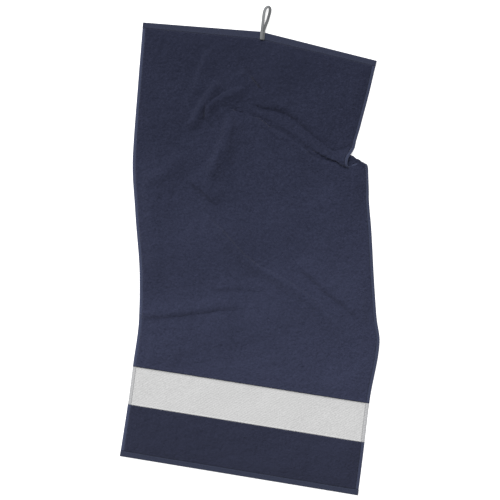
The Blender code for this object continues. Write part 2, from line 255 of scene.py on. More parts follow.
def flat_lay(u, v):
    """Where a point of the cloth lies in plan before the pleat is rolled, from the left corner."""
    share = u / TOWEL_WIDTH
    wander = LEFT_AT(v) * (1 - share) + RIGHT_AT(v) * share
    side = np.where(u < LOOP_FROM_LEFT, LOOP_FROM_LEFT, TOWEL_WIDTH - LOOP_FROM_LEFT)
    tent = 1 - np.abs(u - LOOP_FROM_LEFT) / side
    to_top = np.maximum(0.0, 1 - (TOWEL_LENGTH - v) / TOP_PEAK_REACH)
    x = u * math.cos(ROW_ANGLE) + v * math.sin(COLUMN_LEAN) + wander
    y = u * (math.sin(ROW_ANGLE) + FAN_AT(v)) + v * math.cos(COLUMN_LEAN) + SAG_AT(v)
    return x, y + TOP_PEAK * tent * to_top * to_top


def corner():
    """The row frame's place of the cloth's lower left corner, read off the bottom hem."""
    low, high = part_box("bottom_hem")
    _, inner_y = flat_lay(np.array(0.0), np.array(END_HEM_WIDTH))
    return float(low.x), float(high.y - inner_y)


CORNER_X, CORNER_Y = corner()


def line_distance(x, y, line):
    """Signed distance to a line, left of it positive, and the share of its length reached."""
    best = np.full(x.shape, 1e9)
    signed = np.zeros(x.shape)
    reached = np.zeros(x.shape)
    runs = np.linalg.norm(np.diff(line, axis=0), axis=1)
    starts = np.concatenate(((0.0,), np.cumsum(runs)))
    for a, b, run, start in zip(line, line[1:], runs, starts):
        dx, dy = (b - a) / run
        along = np.clip((x - a[0]) * dx + (y - a[1]) * dy, 0.0, run)
        off_x = x - a[0] - along * dx
        off_y = y - a[1] - along * dy
        apart = np.hypot(off_x, off_y)
        nearer = apart < best
        best = np.where(nearer, apart, best)
        signed = np.where(nearer, np.where(dx * off_y - dy * off_x >= 0, apart, -apart), signed)
        reached = np.where(nearer, (start + along) / starts[-1], reached)
    return signed, reached


def near(x, y, line, reach):
    """Which points lie within reach of the box round a line."""
    low, high = line.min(axis=0) - reach, line.max(axis=0) + reach
    return (x > low[0]) & (x < high[0]) & (y > low[1]) & (y < high[1])


# The share of a fold's length over which it rises at each end, and how far to its sides it is
# worked out, in widths
RIDGE_END = 0.25
RIDGE_REACH = 3
CREASE_END = 0.2
CREASE_REACH = 6


def fold_height(x, y):
    """The height that the soft ridges and creases give the cloth."""
    height = np.zeros(x.shape)
    for points, rise, left, right in RIDGES:
        line = through(points)
        close = near(x, y, line, RIDGE_REACH * max(left, right))
        signed, reached = line_distance(x[close], y[close], line)
        width = np.where(signed > 0, left, right)
        ends = smoothstep(reached / RIDGE_END) * smoothstep((1 - reached) / RIDGE_END)
        height[close] += rise * ends * np.exp(-((signed / width) ** 2))
    for points, depth, width in CREASES:
        line = through(points)
        close = near(x, y, line, CREASE_REACH * width)
        signed, reached = line_distance(x[close], y[close], line)
        ends = smoothstep(reached / CREASE_END) * smoothstep((1 - reached) / CREASE_END)
        height[close] -= depth * ends * np.exp(-np.abs(signed) / width)
    return height


def waves(count, shortest, longest, seed):
    """Random plane waves as (direction x, direction y, phase) rows, in radians per metre."""
    rng = np.random.default_rng(seed)
    headings = rng.uniform(0, 2 * math.pi, count)
    lengths = rng.uniform(shortest, longest, count)
    phases = rng.uniform(0, 2 * math.pi, count)
    turns = 2 * math.pi / lengths
    return np.stack((turns * np.cos(headings), turns * np.sin(headings), phases), axis=1)


def ripple(x, y, rows):
    """The sum of the waves at x, y, about 1 high."""
    total = np.zeros(x.shape)
    for kx, ky, phase in rows:
        total += np.sin(kx * x + ky * y + phase)
    return total / math.sqrt(len(rows) / 2)


BILLOW = waves(14, 0.09, 0.22, 7)
CRUMPLE = waves(24, 0.022, 0.050, 11)
# How far the cloth lies off the floor on average, and how much the waves add to that
TERRY_LIFT = 0.0030
TERRY_BILLOW = 0.0010
TERRY_CRUMPLE = 0.00030
BAND_LIFT = 0.0008
BAND_BILLOW = 0.0003
# How far in from the edges, and from the band, the cloth reaches its full unevenness
EDGE_REACH = 0.035
BAND_REACH = 0.03
# The share of the folds' height that is left at the towel's edges
EDGE_FOLD_SHARE = 0.6
# How softly a hollow that reaches the floor flattens on it, and how far the edges sink
FLOOR_SOFTNESS = 0.0006
EDGE_SINK = 0.0004


def rest_height(u, v, x, y):
    """How far the cloth lies off the floor: flat at its edges, gently uneven inside them."""
    to_edge = np.minimum(np.minimum(u, TOWEL_WIDTH - u), np.minimum(v, TOWEL_LENGTH - v))
    terry = smoothstep((v - BAND_HIGH) / BAND_REACH) + smoothstep((BAND_LOW - v) / BAND_REACH)
    inside = smoothstep(to_edge / EDGE_REACH)
    billow = ripple(x, y, BILLOW)
    loose = TERRY_LIFT + TERRY_BILLOW * billow + TERRY_CRUMPLE * ripple(x, y, CRUMPLE)
    flat = BAND_LIFT + BAND_BILLOW * billow
    folds = fold_height(x, y) * (EDGE_FOLD_SHARE + (1 - EDGE_FOLD_SHARE) * inside)
    height = inside * (terry * loose + (1 - terry) * flat) + folds
    on_floor = np.logaddexp(0.0, height / FLOOR_SOFTNESS) * FLOOR_SOFTNESS
    return on_floor - EDGE_SINK * (1 - inside)


# The pleat's fades, each as a start and a length. Those across it are shares of the way to the
# right edge; those along the column are in metres up from its middle, or down from it for BELOW.
PLEAT_START_FADE = (-0.15, 0.22)
PLEAT_RISE_FADE = (-0.1, 0.5)
LOWER_FLANK_FADE = (-0.05, 0.25)
UNDER_FADE_BELOW = (0.004, 0.010)
FLAP_FADE = (-0.050, 0.020)
GRIP_FADE = (-0.082, 0.045)
GRIP_FADE_BELOW = (-0.042, 0.016)
# Where the roll starts and how long it takes, and how much sooner the turned-under part starts
ROLL_START = 0.80
ROLL_LENGTH = 0.20
UNDER_LEAD = 0.20
UNDER_EXTRA_LENGTH = 0.02
# The pleat's rise at its start, as a share of its full rise
START_RISE = 0.45
# Where the pleat's own height takes the place of the even lie's, above and below its middle.
# Above, it reaches further and fades more slowly where the upper flank is pinched.
OWN_ABOVE = 0.032
OWN_ABOVE_PINCHED = 0.012
OWN_ABOVE_FADE = 0.010
OWN_ABOVE_FADE_PINCHED = 0.022
OWN_BELOW = 0.030
OWN_BELOW_RIGHT = 0.012
OWN_BELOW_RIGHT_FADE = (0.55, 0.2)
OWN_BELOW_FADE = 0.008
OWN_SHARE = 0.9


def cloth(u, v):
    """The point of the cloth's underside at u, v, as an array with x, y, z in its last axis."""
    u, v = np.broadcast_arrays(np.asarray(u, float), np.asarray(v, float))
    x, y = flat_lay(u, v)
    x = x + CORNER_X
    y = y + CORNER_Y

    # Where the point is on the pleat: its share of the way right, and how far past the middle
    share = (u - PLEAT_START[0]) / (PLEAT_END[0] - PLEAT_START[0])
    middle = PLEAT_START[1] + (PLEAT_END[1] - PLEAT_START[1]) * share
    past = v - middle
    started = fade(share, *PLEAT_START_FADE)
    first, last = PLEAT_CREST_RUN
    crest_x = first + (last - first) * np.clip(share, PLEAT_START_FADE[0], 1)
    crest_y = CREST_AT(crest_x)

    # The column's profile there, inside the panel and rolled over at the edge
    run, rise, right, up, edge_rise = (curve(past) for curve in FOLD_CURVES)
    flank = UPPER_FLANK_AT(share)
    lower_flank = 0.5 + 0.5 * fade(share, *LOWER_FLANK_FADE)
    run = run * np.where(run > 0, flank, lower_flank)
    under = fade(-past, *UNDER_FADE_BELOW)
    rolled = share - ROLL_START + UNDER_LEAD * under
    rolled = smoothstep(rolled / (ROLL_LENGTH + UNDER_EXTRA_LENGTH * under))
    flap = under * fade(past, *FLAP_FADE)
    up = up + flap * (PLEAT_CREST[-1][1] + (last - crest_x) * ROLL_SLOPE - crest_y)
    rise = rise * (START_RISE + (1 - START_RISE) * fade(share, *PLEAT_RISE_FADE))
    fold_x = crest_x + (1 - rolled) * run * math.sin(COLUMN_LEAN) + rolled * right
    fold_y = crest_y + (1 - rolled) * run * math.cos(COLUMN_LEAN) + rolled * up
    fold_z = (1 - rolled) * rise + rolled * edge_rise

    grip = fade(past, *GRIP_FADE) * fade(-past, *GRIP_FADE_BELOW) * started
    x = x + grip * (fold_x - x)
    y = y + grip * (fold_y - y)
    z = rest_height(u, v, x, y)
    pinch = 1 - flank
    above = OWN_ABOVE + OWN_ABOVE_PINCHED * pinch
    above_fade = OWN_ABOVE_FADE + OWN_ABOVE_FADE_PINCHED * pinch
    below = OWN_BELOW + OWN_BELOW_RIGHT * fade(share, *OWN_BELOW_RIGHT_FADE)
    own = smoothstep((past + below) / OWN_BELOW_FADE) * smoothstep((above - past) / above_fade)
    z = z * (1 - OWN_SHARE * own * started) + grip * fold_z
    return np.stack((x, y, z), axis=-1)


def facing(u, v):
    """The direction that the front of the cloth faces at u, v."""
    step = 0.0006
    across = cloth(u + step, v) - cloth(u - step, v)
    along = cloth(u, v + step) - cloth(u, v - step)
    normal = np.cross(across, along)
    return normal / np.linalg.norm(normal, axis=-1, keepdims=True)


def even(low, high, spacing):
    """Stations from low to high, about spacing apart, an even number of steps."""
    count = max(2, 2 * round((high - low) / spacing / 2))
    return np.linspace(low, high, count + 1)


def add_mesh(name, points, faces, material):
    mesh = bpy.data.meshes.new(name)
    mesh.from_pydata([tuple(p) for p in points], [], faces)
    mesh.validate()
    mesh.update()
    mesh.shade_smooth()
    mesh.materials.append(material)
    made = bpy.data.objects.new(name, mesh)
    bpy.context.scene.collection.objects.link(made)
    return made


def grid_faces(rows, columns, first, flip):
    """Faces of a grid of points stored row by row from the point numbered first."""
    index = first + np.arange(rows * columns).reshape(rows, columns)
    corners = [index[:-1, :-1], index[:-1, 1:], index[1:, 1:], index[1:, :-1]]
    if flip:
        corners.reverse()
    return np.stack(corners, axis=-1).reshape(-1, 4).tolist()


def rim(rows, columns):
    """The numbers of a grid's border points, once round it."""
    index = np.arange(rows * columns).reshape(rows, columns)
    return np.concatenate((index[0, :-1], index[:-1, -1], index[-1, :0:-1], index[:0:-1, 0]))


def closed_sheet(name, us, vs, low, high, material):
    """A closed piece of cloth over the stations us and vs.

    low and high give its lower and upper faces' distances from the cloth's underside, as
    functions of u and v. The lower face has half as many stations.
    """
    top_u, top_v = np.meshgrid(us, vs)
    under_u, under_v = np.meshgrid(us[::2], vs[::2])
    top = cloth(top_u, top_v) + facing(top_u, top_v) * high(top_u, top_v)[..., None]
    under = cloth(under_u, under_v) + facing(under_u, under_v) * low(under_u, under_v)[..., None]
    points = np.vstack((top.reshape(-1, 3), under.reshape(-1, 3)))
    faces = grid_faces(*top_u.shape, 0, False)
    faces += grid_faces(*under_u.shape, top_u.size, True)
    upper = rim(*top_u.shape)
    lower = top_u.size + rim(*under_u.shape)
    for i in range(len(lower)):
        a, b, c = (int(upper[(2 * i + k) % len(upper)]) for k in range(3))
        d, e = int(lower[i]), int(lower[(i + 1) % len(lower)])
        faces += [(b, a, d), (c, b, e), (b, d, e)]
    return add_mesh(name, points, faces, material)


# Materials --------------------------------------------------------------------------------------


# A wave texture's scale for one stripe to the metre
WAVE_SCALE = math.pi / 10


class Paint:
    """A material with a Principled shader, and short calls for the nodes that feed it."""

    def __init__(self, name, **settings):
        self.made = bpy.data.materials.new(name)
        self.made.use_nodes = True
        self.nodes = self.made.node_tree.nodes
        self.shader = self.nodes["Principled BSDF"]
        for key, value in settings.items():
            self.shader.inputs[key.replace("_", " ")].default_value = value
        self.place = self.add("ShaderNodeTexCoord").outputs["Object"]

    def add(self, kind, **values):
        node = self.nodes.new(kind)
        for key, value in values.items():
            setattr(node, key, value)
        return node

    def link(self, source, target):
        self.made.node_tree.links.new(source, target)

    def turned(self, angle, shift=0.0):
        """The place, turned about the row frame's origin and then moved along X."""
        node = self.add("ShaderNodeMapping")
        node.inputs["Rotation"].default_value = (0, 0, angle)
        node.inputs["Location"].default_value = (shift, 0, 0)
        self.link(self.place, node.inputs["Vector"])
        return node.outputs["Vector"]

    def axis(self, place, letter):
        node = self.add("ShaderNodeSeparateXYZ")
        self.link(place, node.inputs[0])
        return node.outputs[letter]

    def noise(self, scale, detail):
        node = self.add("ShaderNodeTexNoise")
        node.inputs["Scale"].default_value = scale
        node.inputs["Detail"].default_value = detail
        self.link(self.place, node.inputs["Vector"])
        return node.outputs["Fac"]

    def cells(self, scale):
        node = self.add("ShaderNodeTexVoronoi", feature="F1")
        node.inputs["Scale"].default_value = scale
        self.link(self.place, node.inputs["Vector"])
        return node.outputs["Distance"]

    def stripes(self, scale, angle, distortion):
        """Soft stripes, scale of them to the metre, across the direction at that angle."""
        node = self.add("ShaderNodeTexWave", wave_type="BANDS", bands_direction="X")
        node.inputs["Scale"].default_value = scale * WAVE_SCALE
        node.inputs["Distortion"].default_value = distortion
        node.inputs["Detail"].default_value = 1.0
        node.inputs["Detail Scale"].default_value = 2.0
        self.link(self.turned(-angle), node.inputs["Vector"])
        return node.outputs["Fac"]

    def across_loop(self):
        """How far right of the hanging loop's middle line a point lies, in metres."""
        return self.axis(self.turned(-LOOP_ANGLE, LOOP_ACROSS), "X")

    def height_up(self):
        """How far up the towel a point lies, in metres from its middle."""
        return self.axis(self.place, "Y")

    def sum(self, *weighted):
        """The weighted sum of values, given as (value, weight) pairs."""
        total = None
        for value, weight in weighted:
            node = self.add("ShaderNodeMath", operation="MULTIPLY_ADD")
            self.link(value, node.inputs[0])
            node.inputs[1].default_value = weight
            if total is None:
                node.inputs[2].default_value = 0.0
            else:
                self.link(total, node.inputs[2])
            total = node.outputs[0]
        return total

    def colour(self, value, low, high, dark, light):
        """Runs the base colour from dark at the low value to light at the high one."""
        node = self.add("ShaderNodeValToRGB")
        first, last = node.color_ramp.elements
        first.position, last.position = low, high
        first.color, last.color = (*dark, 1), (*light, 1)
        self.link(value, node.inputs["Fac"])
        self.link(node.outputs["Color"], self.shader.inputs["Base Color"])

    def roughness(self, value, low, high):
        node = self.add("ShaderNodeMapRange")
        node.inputs["To Min"].default_value = low
        node.inputs["To Max"].default_value = high
        self.link(value, node.inputs["Value"])
        self.link(node.outputs["Result"], self.shader.inputs["Roughness"])

    def bump(self, value, depth, strength):
        node = self.add("ShaderNodeBump")
        node.inputs["Strength"].default_value = strength
        node.inputs["Distance"].default_value = depth
        self.link(value, node.inputs["Height"])
        self.link(node.outputs["Normal"], self.shader.inputs["Normal"])


def lit(gain, colour):
    return tuple(gain * part for part in colour)


def grey(level):
    return (level, level, level)


def terry_paint(name, gain):
    """Looped pile: small loops, tufts of them, and painted shade that darkens it up the towel."""
    paint = Paint(name, Sheen_Weight=0.08, Sheen_Roughness=0.5, Specular_IOR_Level=0.12)
    loops = paint.cells(560)
    fuzz = paint.noise(1500, 3)
    tufts = paint.noise(220, 2)
    patches = paint.noise(7, 2)
    grain = ((loops, -0.45), (fuzz, 0.5), (tufts, 0.85), (patches, 0.30))
    # Painted shade: the height up the towel darkens the colour towards the top.
    tone = paint.sum(*grain, (paint.height_up(), -0.85))
    dark = lit(gain, (0.0160, 0.0189, 0.0390))
    light = lit(gain, (0.0380, 0.0432, 0.0820))
    paint.colour(tone, 0.2, 1.1, dark, light)
    paint.roughness(fuzz, 0.86, 1.0)
    paint.bump(paint.sum((loops, -0.9), (fuzz, 0.4), (tufts, 0.5)), 0.0012, 0.8)
    return paint.made


def hem_paint(name, gain):
    """The hems' flat weave, a little lighter than the pile, with painted shade that darkens it up
    the towel.
    """
    paint = Paint(name, Sheen_Weight=0.08, Specular_IOR_Level=0.2)
    ribs = paint.stripes(420, ROW_ANGLE + math.radians(45), 0.3)
    loops = paint.cells(480)
    fuzz = paint.noise(600, 3)
    # Painted shade: the colour darkens a little up the towel.
    tone = paint.sum((ribs, 0.15), (loops, -0.35), (fuzz, 0.8), (paint.height_up(), -0.12))
    dark = lit(gain, (0.0215, 0.0260, 0.0500))
    light = lit(gain, (0.0440, 0.0520, 0.0950))
    paint.colour(tone, 0.0, 0.8, dark, light)
    paint.roughness(fuzz, 0.75, 0.95)
    paint.bump(paint.sum((ribs, 0.4), (loops, -0.6), (fuzz, 0.3)), 0.0006, 0.6)
    return paint.made


def band_paint(name, dark, light):
    """A diagonal twill of thick off-white yarn."""
    paint = Paint(name, Sheen_Weight=0.10, Specular_IOR_Level=0.25)
    twill = paint.stripes(230, math.radians(-60), 4.0)
    picks = paint.stripes(420, ROW_ANGLE + math.radians(90), 0.5)
    fuzz = paint.noise(380, 4)
    patches = paint.noise(25, 2)
    tone = paint.sum((twill, 0.22), (picks, 0.06), (fuzz, 0.95), (patches, 0.15))
    paint.colour(tone, 0.40, 1.00, dark, light)
    paint.roughness(fuzz, 0.65, 0.9)
    paint.bump(paint.sum((twill, 0.6), (picks, 0.3), (fuzz, 0.3)), 0.0003, 0.5)
    return paint.made


def thread_paint(name, dark, light):
    """Plied sewing thread."""
    paint = Paint(name, Specular_IOR_Level=0.4)
    ply = paint.stripes(1400, ROW_ANGLE + math.radians(30), 0.2)
    fuzz = paint.noise(900, 2)
    paint.colour(paint.sum((ply, 0.5), (fuzz, 0.5)), 0.2, 0.8, dark, light)
    paint.roughness(fuzz, 0.5, 0.75)
    paint.bump(ply, 0.0002, 0.5)
    return paint.made


def tape_paint():
    """A braided grey tape, with painted shade that darkens it towards the right of the loop."""
    paint = Paint("grey_tape", Sheen_Weight=0.15, Specular_IOR_Level=0.35)
    braid = paint.stripes(620, LOOP_ANGLE + math.radians(45), 0.3)
    cross = paint.stripes(620, LOOP_ANGLE + math.radians(-45), 0.3)
    fuzz = paint.noise(700, 3)
    # Painted shade: the colour darkens across the loop towards its right leg.
    tone = paint.sum((braid, 0.3), (cross, 0.3), (fuzz, 0.6), (paint.across_loop(), -35))
    paint.colour(tone, 0.2, 1.0, (0.08, 0.083, 0.088), (0.22, 0.226, 0.232))
    paint.roughness(fuzz, 0.6, 0.85)
    paint.bump(paint.sum((braid, 0.5), (cross, 0.5)), 0.0004, 0.7)
    return paint.made


PAINTS = {
    "navy_terry": terry_paint("navy_terry", 0.975),
    "lower_terry": terry_paint("navy_terry_lower_nap", 0.635),
    "navy_hem": hem_paint("navy_hem", 0.87),
    # The left side hem's copy is painted lighter than the right's: painted light where it faces the
    # lamp.
    "left_hem": hem_paint("navy_hem_left_painted_light", 1.45),
    "right_hem": hem_paint("navy_hem_right", 1.20),
    "navy_thread": thread_paint("navy_thread", (0.026, 0.031, 0.058), (0.052, 0.062, 0.110)),
    "off_white_weave": band_paint("off_white_weave", grey(0.440), grey(0.620)),
    "off_white_hem": band_paint("off_white_hem", (0.35, 0.352, 0.36), (0.48, 0.482, 0.49)),
    "off_white_thread": thread_paint("off_white_thread", (0.60, 0.60, 0.602), (0.74, 0.74, 0.742)),
    "grey_tape": tape_paint(),
    "grey_thread": thread_paint("grey_thread", (0.07, 0.075, 0.08), (0.16, 0.165, 0.17)),
}

# The bodies beside each zone of the towel, and its bend's start and end ------------------------

BEND_LENGTH = 0.015


def seam_bend(v):
    """Where the cloth just under a seam bends: the points at the seam and past the bend."""
    middle = TOWEL_WIDTH / 2
    start = cloth(middle, v)
    end = cloth(middle, v - BEND_LENGTH)
    across = cloth(TOWEL_WIDTH, v) - cloth(0.0, v)
    down = np.array((across[1], -across[0], 0.0))
    down = down / np.linalg.norm(down)
    length = float((end - start) @ down)
    return start, start + down * length


# The bodies on each side of a zone's bend, and the bend's start and end
ZONES = {
    "band": ("main", "band", *seam_bend(BAND_HIGH)),
    "lower": ("band", "lower", *seam_bend(BAND_LOW)),
}


def settle(piece, zone, slot, *nodes):
    """Rides the piece on its zone's body, or bakes its place into its mesh in the band and lower
    zones, and hides the CAD parts that it stands for. The slot is not used.
    """
    if zone in ZONES:
        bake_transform(piece)
    else:
        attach(piece, zone)
    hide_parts(*nodes)
    return piece


# The towel's cloth ------------------------------------------------------------------------------

TERRY_SPACING = 0.0021
HEM_SPACING = 0.0026
END_HEM_SPACING = 0.003
BAND_SPACING = 0.0022
# How far the panels' lower face lies off the cloth's underside
UNDER_LIFT = 0.0002
# The pile: how wide its rounded edge is, its height there as a share of the terry's thickness,
# and how far single loops stand above and below the rest
EDGE_ROUNDING = 0.0022
EDGE_PILE = 0.80
LOOP_SCATTER = 0.00042
LOOP_LIMIT = 0.0010
# The hems: how wide the rounded outer edge is, the shares of the width at which the cloth has
# stations, and the shares of the thickness below and above the rounded edge
HEM_ROUNDING = 0.0024
HEM_STATIONS = np.array((0.0, 0.015, 0.06, 0.14, 0.26, 0.40, 0.55, 0.70, 0.85, 0.96, 1.0))
HEM_BELOW = 0.42
HEM_ABOVE = 0.58
# The crown's height beside the terry, as a share of its full height
HEM_SEAM = 0.9
# The band: the stations along its long edges, the raised cord there and the weave's unevenness
BAND_EDGE_STATIONS = np.array((0.0002, 0.0008, 0.0014, 0.0020, 0.0026, 0.0030))
BAND_EDGE = 0.0034
CORD_HEIGHT = 0.0008
CORD_INSET = 0.0013
CORD_WIDTH = 0.0008
WEAVE_SCATTER = 0.00006
WEAVE_SEED = 5


def shoulder(distance, rounding):
    """A quarter round: 0 at the edge, 1 once the rounding's width away from it."""
    t = np.clip(distance / rounding, 0.0, 1.0)
    return np.sqrt(1 - (1 - t) ** 2)


def panel_underside(u, v):
    return np.zeros(u.shape) + UNDER_LIFT


def pile(u, v, low_v, high_v, seed):
    """The height of a terry panel's looped pile, low along its four edges."""
    to_side = np.minimum(u - INNER_LEFT, INNER_RIGHT - u)
    to_edge = np.minimum(to_side, np.minimum(v - low_v, high_v - v))
    rng = np.random.default_rng(seed)
    loops = np.clip(rng.normal(0.0, LOOP_SCATTER, u.shape), -LOOP_LIMIT, LOOP_LIMIT)
    round_edge = shoulder(to_edge, EDGE_ROUNDING)
    return (EDGE_PILE + (1 - EDGE_PILE) * round_edge) * TERRY_THICKNESS + loops * round_edge


def terry_panel(name, zone, low_v, high_v, seed):
    us = even(INNER_LEFT + GAP, INNER_RIGHT - GAP, TERRY_SPACING)
    vs = even(low_v + GAP, high_v - GAP, TERRY_SPACING)
    made = closed_sheet(
        f"{name}_cloth", us, vs,
        panel_underside,
        lambda u, v: pile(u, v, low_v, high_v, seed),
        PAINTS["lower_terry" if zone == "lower" else "navy_terry"],
    )
    return settle(made, zone, "navy_terry", name)


def strip(name, zone, slot, us, vs, thickness, outer, paint):
    """A hem with a rounded outer edge, which lies at the u or the v called outer."""
    across_u = outer in (us[0], us[-1]) and len(us) < len(vs)
    low, high = (us[0], us[-1]) if across_u else (vs[0], vs[-1])
    inner = high if outer == low else low

    def crown(u, v):
        at = u if across_u else v
        seam = HEM_SEAM + (1 - HEM_SEAM) * shoulder(np.abs(at - inner), GAP * 2)
        return shoulder(np.abs(at - outer), HEM_ROUNDING) * seam

    made = closed_sheet(
        f"{name}_cloth", us, vs,
        lambda u, v: thickness * HEM_BELOW * (1 - crown(u, v)),
        lambda u, v: thickness * (HEM_BELOW + HEM_ABOVE * crown(u, v)),
        PAINTS[paint],
    )
    return settle(made, zone, slot, name)


def side_hems(zone, low_v, high_v, thickness, slot):
    vs = even(low_v + GAP, high_v - GAP, HEM_SPACING)
    from_left = HEM_STATIONS * (SIDE_HEM_WIDTH - GAP / 2)
    from_right = TOWEL_WIDTH - from_left[::-1]
    made = []
    sides = ("left", from_left, from_left[0]), ("right", from_right, from_right[-1])
    for side, us, outer in sides:
        # The left side hem takes the copy of the hem paint that carries painted light.
        paint = f"{side}_hem" if slot == "navy_hem" else slot
        made.append(strip(f"{side}_hem_{zone}", zone, slot, us, vs, thickness, outer, paint))
    return made


def end_hem(name, zone, low_v):
    us = even(0.0, TOWEL_WIDTH, END_HEM_SPACING)
    width = END_HEM_WIDTH - GAP / 2
    vs = HEM_STATIONS * width if low_v == 0 else TOWEL_LENGTH - HEM_STATIONS[::-1] * width
    outer = vs[0] if low_v == 0 else vs[-1]
    return strip(name, zone, "navy_hem", us, vs, END_HEM_THICKNESS, outer, "navy_hem")


def woven_band():
    """The flat band between the terry panels, with a raised cord along each long edge."""
    us = even(INNER_LEFT + GAP, INNER_RIGHT - GAP, BAND_SPACING)
    inner = even(BAND_LOW + BAND_EDGE, BAND_HIGH - BAND_EDGE, BAND_SPACING)
    low_edge = BAND_LOW + BAND_EDGE_STATIONS
    high_edge = (BAND_HIGH - BAND_EDGE_STATIONS)[::-1]
    vs = np.concatenate((low_edge, inner, high_edge))
    vs = vs if len(vs) % 2 else np.delete(vs, len(vs) // 2)
    rng = np.random.default_rng(WEAVE_SEED)

    def top(u, v):
        to_edge = np.minimum(v - BAND_LOW, BAND_HIGH - v)
        cord = CORD_HEIGHT * np.exp(-(((to_edge - CORD_INSET) / CORD_WIDTH) ** 2))
        return BAND_THICKNESS + cord + rng.normal(0, WEAVE_SCATTER, u.shape)

    paint = PAINTS["off_white_weave"]
    made = closed_sheet("woven_band_cloth", us, vs, panel_underside, top, paint)
    return settle(made, "band", "off_white_weave", "woven_band")


# Stitching --------------------------------------------------------------------------------------

STITCH_PITCH = 0.0032
STITCH_LENGTH = 0.0024
STITCH_RINGS = 5
THREAD_RADIUS = 0.00036
THREAD_SIDES = 6
# In thread radii, how far a stitch's middle stands off the cloth and how far its ends dip
STITCH_STAND = 0.35
STITCH_DIP = 0.9
# How thin a stitch's ends get: the square of the share of the thread's radius
STITCH_END = 0.08
# How far ahead the heading of a row of stitches is read
AHEAD = 0.001


def turn(sides):
    """The angles of the points of a ring."""
    return np.arange(sides) / sides * 2 * math.pi


def tube_faces(rings, sides, first=0):
    """Faces of a closed tube whose points are stored ring by ring from the one numbered first."""
    faces = []
    for i in range(rings - 1):
        a = first + i * sides
        for k in range(sides):
            n = (k + 1) % sides
            faces.append((a + k, a + n, a + sides + n, a + sides + k))
    faces.append(tuple(first + k for k in reversed(range(sides))))
    faces.append(tuple(first + (rings - 1) * sides + k for k in range(sides)))
    return faces


def stitches(name, zone, slot, start, end, lift):
    """A row of separate stitches on the cloth from one (u, v) to another, sunk into it a little."""
    start, end = np.array(start), np.array(end)
    run = np.linalg.norm(end - start)
    count = int(run / STITCH_PITCH)
    rows = []
    for centre in (np.arange(count) + 0.5) / count:
        for i in range(STITCH_RINGS):
            t = i / (STITCH_RINGS - 1) * 2 - 1
            share = centre + t * STITCH_LENGTH / 2 / run
            radius = THREAD_RADIUS * math.sqrt(max(STITCH_END, 1 - t ** 4))
            rows.append((share, radius, t))
    rows = np.array(rows)
    uv = start + (end - start) * rows[:, :1]
    ahead = uv + (end - start) / run * AHEAD
    place = cloth(uv[:, 0], uv[:, 1])
    normal = facing(uv[:, 0], uv[:, 1])
    heading = cloth(ahead[:, 0], ahead[:, 1]) - place
    heading /= np.linalg.norm(heading, axis=1, keepdims=True)
    beside = np.cross(heading, normal)
    dip = THREAD_RADIUS * STITCH_DIP * rows[:, 2:] ** 2
    middle = place + normal * (lift + THREAD_RADIUS * STITCH_STAND - dip)
    angles = turn(THREAD_SIDES)
    rings = (
        middle[:, None]
        + beside[:, None] * (rows[:, 1:2] * np.cos(angles))[..., None]
        + normal[:, None] * (rows[:, 1:2] * np.sin(angles))[..., None]
    )
    faces = []
    for i in range(count):
        faces += tube_faces(STITCH_RINGS, THREAD_SIDES, i * STITCH_RINGS * THREAD_SIDES)
    made = add_mesh(f"{name}_thread", rings.reshape(-1, 3), faces, PAINTS[slot])
    return settle(made, zone, slot, name)


def side_stitches(zone, low_v, high_v, thickness, slot):
    for side, u in (("left", INNER_LEFT - STITCH_INSET), ("right", INNER_RIGHT + STITCH_INSET)):
        name = f"{side}_stitching_{zone}"
        stitches(name, zone, slot, (u, low_v), (u, high_v), thickness)


# The hanging loop -------------------------------------------------------------------------------

TAPE_WIDTH = 0.0062
TAPE_THICKNESS = 0.0017
TAPE_RIBS = 5
TAPE_SIDES = 36
RIB_DEPTH = 0.14
# How square the tape's section is across its width and through its thickness; 1 is an ellipse
SQUARE_WIDTH = 0.6
SQUARE_THICKNESS = 0.45
# How far the tape turns about its own line round the loop; 0 lies flat on the towel
TAPE_TILT = 0.42
# The share of the loop's length over which it takes up that turn, at each end
TILT_REACH = 0.35
SEWN_LENGTH = 0.0172
SEWN_RINGS = 16
# The share of the sewn length left free beside the loop
SEWN_START = 0.007
# Where the loop's own frame starts: its height, and how far right of the CAD model's loop
LOOP_LIFT = 0.0043
LOOP_SHIFT = 0.0025
# Where the loop bends: out from the towel's edge, from the first distance to the second
LOOP_BEND = (-0.002, 0.006)
# The tape's middle line from the sewn left end round to the sewn right end, in the loop's own
# frame: to the right of its middle, out from the towel, and up
LOOP_ROUTE = (
    (-0.0009, 0.0000, 0.0016), (-0.0016, 0.0080, 0.0018), (-0.0026, 0.0180, 0.0016),
    (-0.0042, 0.0330, 0.0012), (-0.0042, 0.0430, 0.0012), (-0.0024, 0.0488, 0.0014),
    (0.0010, 0.0519, 0.0016), (0.0044, 0.0512, 0.0014), (0.0065, 0.0474, 0.0010),
    (0.0069, 0.0410, 0.0006), (0.0065, 0.0330, 0.0004), (0.0058, 0.0245, 0.0002),
    (0.0040, 0.0140, 0.0000), (0.0029, 0.0055, 0.0000), (0.0026, 0.0000, 0.0000),
)
# Where the sewn ends stop: to the right of the frame's middle, and up
SEWN_ENDS = {"left": (0.0016, 0.0024), "right": (0.0048, 0.0008)}


def loop_origin():
    spot = cloth(LOOP_FROM_LEFT, TOWEL_LENGTH)
    return np.array((spot[0] + LOOP_SHIFT, spot[1], LOOP_LIFT))


def in_loop_frame(points):
    """Points of the loop's own frame in the row frame."""
    cos, sin = math.cos(LOOP_ANGLE), math.sin(LOOP_ANGLE)
    points = np.asarray(points, float)
    x = points[..., 0] * cos - points[..., 1] * sin
    y = points[..., 0] * sin + points[..., 1] * cos
    return loop_origin() + np.stack((x, y, points[..., 2]), axis=-1)


def loop_heading():
    return np.array((-math.sin(LOOP_ANGLE), math.cos(LOOP_ANGLE), 0.0))


